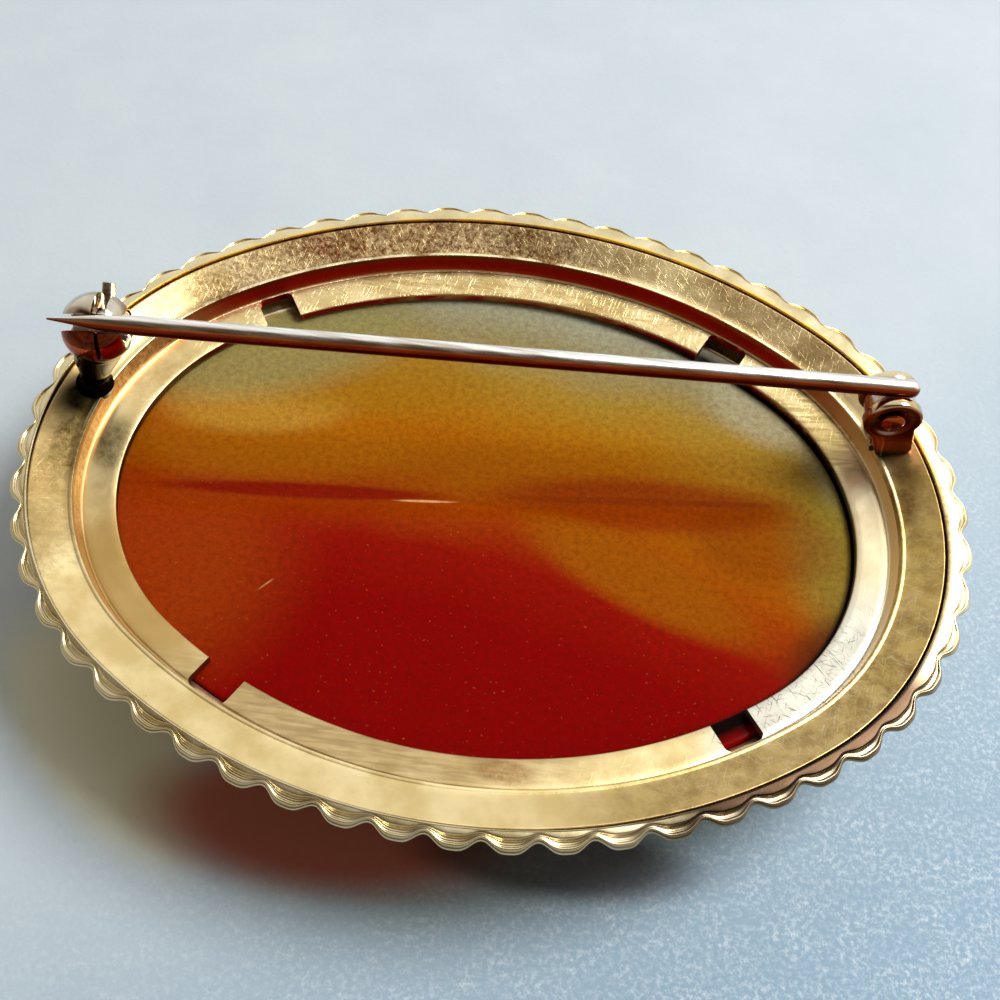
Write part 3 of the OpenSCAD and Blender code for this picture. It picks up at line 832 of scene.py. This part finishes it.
def ringSection():
    # outward distance, height and share of the border's centre, once round the folded sheet
    rows = [(0.05, -0.5), (0.05, -0.27), (0.057, -0.19), (0.078, -0.153), (0.11, -0.145)]
    rows += [(inset, -ring["slope"] * inset - 0.1) for inset in evenly(0.16, ring["run"], steps=6)]
    rows += [(1.87, -0.822), (1.9, -0.815), (1.97, -0.812), (2.035, -0.816), (2.062, -0.828), (2.077, -0.86),
             (2.086, -0.94), (2.17, -1.35), (2.26, -1.78), (2.285, -1.85), (2.32, -1.885), (2.36, -1.89),
             (2.4, -1.885), (2.44, -1.873)]
    tabFrom, tabTo = ring["tab"]
    for inset in evenly(tabFrom, tabTo, steps=5):
        rows.append((inset, ring["tabZ"] - ring["tabFall"] * (inset - tabFrom)))
    rows += [(3.94, -2.112), (3.975, -2.14), (3.985, -2.2), (3.985, -2.54), (3.96, -2.59), (3.9, -2.605),
             (1.85, -2.28), (1.62, -1.19)]
    return [(-inset, high, 0) for inset, high in rows]


def cutterObject():
    # one gap: a slot from the wall inwards, with rounded corners, 1 mm wide until it is scaled
    r = ring["cornerR"]
    outline = [(ring["cutTo"], -0.5)]
    for side, start in ((-1, 270), (1, 180)):
        for a in angles(start, start - 90, ring["cornerSteps"]):
            outline.append((r + r * cos(a), side * (0.5 - r / 2) + 0.5 * r * sin(a)))
    outline.append((ring["cutTo"], 0.5))
    vertices = [(x * mm, y * mm, z * mm) for z in ring["cutZ"] for x, y in outline]
    piece = addMesh("gapCutter", vertices, prismFaces(len(outline)), ringMetal, smooth=False)
    faceOutwards(piece.data)
    return piece


def gapPoints():
    # where the gaps are; each point carries its turn and its width
    places, turns, widths = [], [], []
    for side, off, wide in ring["gaps"]:
        a = radians(90 - off if side > 0 else 270 - off)
        r = sideR - ring["gapFrom"]
        places.append(((r * cos(a) + oval["ringOff"]) * mm,
                       (r * sin(a) - side * sideY + oval["ringOff"]) * mm, oval["height"] * mm))
        turns.append(a + pi)
        widths.append(wide)
    mesh = bpy.data.meshes.new("gapPoints")
    mesh.from_pydata(places, [], [])
    for name, values in (("turn", turns), ("wide", widths)):
        mesh.attributes.new(name, "FLOAT", "POINT").data.foreach_set("value", values)
    return addObject("gapPoints", mesh)


def ringTree(sweep):
    # the ring's section swept round the oval, made a little uneven, with the gaps cut through its tabs
    tree, add, given = newGroup("gappedRing", sweepInputs + cutInputs)
    swept = add("GeometryNodeGroup", {"node_tree": sweep, **{name: given[name] for name, _ in sweepInputs}})
    here = add("GeometryNodeInputPosition")
    offset = None
    for scale, amount in ((170.0, "Waviness"), (1100.0, "Dents")):
        noise = add("TexNoise", {"Scale": scale, "Detail": 2.0, "Vector": here})
        centred = add("VectorMath", {"operation": "SUBTRACT", 1: (0.5, 0.5, 0.5), 0: noise.outputs["Color"]})
        shift = add("VectorMath", {"operation": "SCALE", 0: centred, "Scale": given[amount]})
        offset = shift if offset is None else add("VectorMath", {"operation": "ADD", 0: offset, 1: shift})
    uneven = add("GeometryNodeSetPosition", {"Geometry": swept, "Offset": offset})
    points = add("GeometryNodeObjectInfo", {"Object": given["Gaps"]})
    cutter = add("GeometryNodeObjectInfo", {"Object": given["Cutter"]})
    turn = add("GeometryNodeInputNamedAttribute", {"Name": "turn"})
    wide = add("GeometryNodeInputNamedAttribute", {"Name": "wide"})
    around = add("CombineXYZ", {"Z": turn})
    size = add("CombineXYZ", {"X": 1.0, "Z": 1.0, "Y": wide})
    spread = add("GeometryNodeInstanceOnPoints", {"Points": points.outputs["Geometry"],
        "Instance": cutter.outputs["Geometry"], "Rotation": around, "Scale": size})
    real = add("GeometryNodeRealizeInstances", {"Geometry": spread})
    cut = add("GeometryNodeMeshBoolean", {"operation": "DIFFERENCE", "solver": "EXACT", "Mesh 1": uneven,
        "Mesh 2": real})
    finishGroup(add, cut, given["Metal"])
    return tree


ringRows = ringSection()
ringShape = sectionObject("ringSection", ringRows)
backRing = bakeNodes("backRing", ringTree(scallopSweep), {
    **sweepShared, "Oval": ovalObject("ringLine", border["scallops"] * ring["stepsEach"]),
    "Notch section": ringShape, "Tip section": ringShape, "Steps each": ring["stepsEach"],
    "Section points": len(ringRows), "Roundness": 1.0, "Metal": ringMetal, "Cutter": cutterObject(),
    "Gaps": gapPoints(), "Waviness": ring["waviness"] * mm, "Dents": ring["dents"] * mm})
backRing.data.set_sharp_from_angle(angle=radians(ring["sharpAbove"]))
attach(backRing, "brooch")
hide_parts("back_ring")

print("hinge")
hinge = {
    "at": (19.93, 5.78, 10.01),
    "yaw": 5.04,
    "lean": 19.0,           # of the feet, outwards
    "inner": 0.575,
    "outer": 1.175,
    "earR": 1.5,
    "sides": 1.2,           # half width where the foot starts
    "bore": 0.48,
    "dish": 0.17,           # depth of the hollow face round the rivet
    "footDepth": 3.05,
    "footBack": 0.92,
    "feet": [(-1, 0.92), (1, 0.45)],    # side along the rivet, reach of the foot outwards
    # outline of the floor between the ears, across and up from the feet's ends
    "floor": [(-1.2, 0.0), (-1.2, 0.47), (-1.12, 0.55), (0.32, 0.55), (0.4, 0.47), (0.4, 0.0)],
    "floorHalf": 0.7,
    "around": 96,
    "sharpAbove": 35,
}
hingeFrame = Matrix.Translation(Vector(hinge["at"])) @ Matrix.Rotation(radians(hinge["yaw"]), 4, "Z")


def earOutline(footOut):
    # radius of the ear's outline by angle: a round head over a straight-sided foot
    turn = Matrix.Rotation(radians(hinge["lean"]), 2)
    sides, low = hinge["sides"], -hinge["footDepth"]
    places = [(-sides, 0.0), (sides, 0.0), (footOut, low), (-hinge["footBack"], low)]
    corners = [turn @ Vector(p) for p in places]

    def radius(angle):
        way = Vector((cos(angle), sin(angle)))
        reach = hinge["earR"]
        for k in range(4):
            start, edge = corners[k], corners[(k + 1) % 4] - corners[k]
            cross = way.x * edge.y - way.y * edge.x
            if abs(cross) > 1e-9:
                along = (start.x * edge.y - start.y * edge.x) / cross
                part = (start.x * way.y - start.y * way.x) / cross
                if 0.0 <= part <= 1.0:
                    reach = max(reach, along)
        return reach
    return radius


def earPiece(side, footOut):
    outline = earOutline(footOut)
    face, rear, bore, dish = hinge["outer"], hinge["inner"], hinge["bore"], hinge["dish"]
    # share of the outline in the radius, the rest of the radius, place along the rivet
    rows = [(0, bore, rear), (0, bore, face - dish - 0.03), (0, bore + 0.04, face - dish),
            (0, 0.74, face - dish), (0, 0.86, face - 0.86 * dish), (0, 0.98, face - 0.55 * dish),
            (0, 1.09, face - 0.22 * dish), (0, 1.18, face - 0.04 * dish), (0, 1.24, face), (1, -0.14, face),
            (1, -0.08, face - 0.014), (1, -0.03, face - 0.05), (1, 0.0, face - 0.12), (1, 0.0, rear + 0.08),
            (1, -0.03, rear + 0.03), (1, -0.08, rear), (0, bore, rear)]

    def place(row, angle):
        share, r, y = row
        reach = r + share * outline(angle)
        return (hingeFrame @ Vector((reach * cos(angle), side * y, reach * sin(angle)))) * mm
    return latheRows(rows, hinge["around"], place)


def earsPiece():
    vertices, faces = [], []
    for side, footOut in hinge["feet"]:
        points, loops = earPiece(side, footOut)
        faces += [tuple(v + len(vertices) for v in loop) for loop in loops]
        vertices += points
    lean = hingeFrame @ Matrix.Rotation(radians(-hinge["lean"]), 4, "Y")
    faces += prismFaces(len(hinge["floor"]), len(vertices))
    for y in (-hinge["floorHalf"], hinge["floorHalf"]):
        vertices += [(lean @ Vector((x, y, z - hinge["footDepth"]))) * mm for x, z in hinge["floor"]]
    piece = addMesh("hingeEars", vertices, faces, hingeMetal)
    faceOutwards(piece.data)
    piece.data.set_sharp_from_angle(angle=radians(hinge["sharpAbove"]))
    return piece


hingeEars = earsPiece()
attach(hingeEars, "brooch")
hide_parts("back_ring")
rivet = softCopy("hinge_rivet", "rivet", rivetMetal, width=0.06)
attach(rivet, "brooch")
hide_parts("hinge_rivet")

print("safety catch")
catch = {
    "foot": (-22.02, 3.18, 7.09),
    "ball": (-20.87, 3.28, 11.61),
    "yaw": 3.4,
    "ballR": 1.8,
    "neckR": 0.62,
    "neckAt": 0.45,         # along the post
    "neckSwell": 0.95,      # power by which the post widens towards the ball
    "joint": 1.0,           # from the ball's middle down to the post
    "bore": 1.0,
    "mouthWide": 0.86,
    "mouthAt": 121.5,
    "grooveAt": 0.45,       # along the pin from the ball's middle
    "grooveHalf": 0.33,
    "groove": (-70, 115),
    "slitHalf": 0.1,
    "slit": (125, 201),
    "slitFrom": 1.2,
    "cutR": 4,              # how far the cutters reach, across and along the pin
    "cutHalf": 6,
    "arcSteps": 24,
    "edge": 0.05,
    "around": 72,
}
ballAt = Vector(catch["ball"])
catchFrame = Matrix.Translation(ballAt) @ Matrix.Rotation(radians(catch["yaw"]), 4, "Z")


def ballAndPost():
    # post that swells into the ball, turned about its own axis
    foot = Vector(catch["foot"])
    way = (ballAt - foot).normalized()
    length = (ballAt - foot).length
    sideways = way.cross(Vector((0, 1, 0))).normalized()
    across = way.cross(sideways)
    neckAt, neckR, ballR, down = catch["neckAt"], catch["neckR"], catch["ballR"], catch["joint"]
    rows = [(-0.35, 0.0), (-0.35, 1.05), (0.0, 1.02), (0.06, 0.95), (0.16, 0.8), (0.3, 0.68), (neckAt, neckR)]
    topR = sqrt(ballR ** 2 - down ** 2)
    for t in evenly(0, 1, steps=12)[1:]:
        rows.append((neckAt + (length - down - neckAt) * t, neckR + (topR - neckR) * t ** catch["neckSwell"]))
    low = asin(-down / ballR)
    for a in evenly(low, pi / 2, steps=28)[1:]:
        rows.append((length + ballR * sin(a), ballR * cos(a)))

    def place(row, angle):
        along, r = row
        return (foot + way * along + sideways * (r * cos(angle)) + across * (r * sin(angle))) * mm
    vertices, faces = latheRows(rows, catch["around"], place)
    piece = addMesh("catchBall", vertices, faces, ballMetal)
    faceOutwards(piece.data)
    return piece


def barAlongPin(outline, start, end):
    # solid bar along the pin's line, its outline given across that line
    vertices = [(catchFrame @ Vector((x, y, z))) * mm for x in (start, end) for y, z in outline]
    bar = addMesh("catchCutter", vertices, prismFaces(len(outline)), ballMetal, smooth=False)
    faceOutwards(bar.data)
    return bar


def arc(radius, start, end, steps):
    return [(radius * cos(a), radius * sin(a)) for a in angles(start, end, steps)]


def sector(inner, start, end):
    # piece of a disk, or of a washer if it has an inner radius
    rim = arc(catch["cutR"], start, end, catch["arcSteps"])
    return rim + (arc(inner, end, start, catch["arcSteps"]) if inner else [(0.0, 0.0)])


def catchCutters():
    a = radians(catch["mouthAt"])
    way = Vector((cos(a), sin(a))) * catch["cutR"]
    side = Vector((-sin(a), cos(a))) * catch["mouthWide"] / 2
    mouth = [tuple(p) for p in (side, -side, way - side, way + side)]
    bore = arc(catch["bore"], 0, 360, 60)[:-1]
    at, past, groove, slit = catch["grooveAt"], catch["cutHalf"], catch["grooveHalf"], catch["slitHalf"]
    return [barAlongPin(bore, -past, past), barAlongPin(mouth, -past, past),
            barAlongPin(sector(0, *catch["groove"]), at - groove, at + groove),
            barAlongPin(sector(catch["slitFrom"], *catch["slit"]), at - slit, at + slit)]


catchBall = ballAndPost()
cutters = catchCutters()
for cutter in cutters:
    cut = catchBall.modifiers.new("cut", "BOOLEAN")
    cut.operation = "DIFFERENCE"
    cut.solver = "EXACT"
    cut.object = cutter
softEdges(catchBall, catch["edge"], degrees=50)
for cutter in cutters:
    bpy.data.objects.remove(cutter)
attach(catchBall, "brooch")
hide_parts("back_ring")
rotor = softCopy("catch_rotor", "catchBarrel", catchMetal, width=0.06)
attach(rotor, "catch")
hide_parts("catch_rotor")

print("pin")
pin = softCopy("pin_stem", "pinWire", pinMetal, width=0.05)
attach(pin, "pin")
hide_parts("pin_stem")
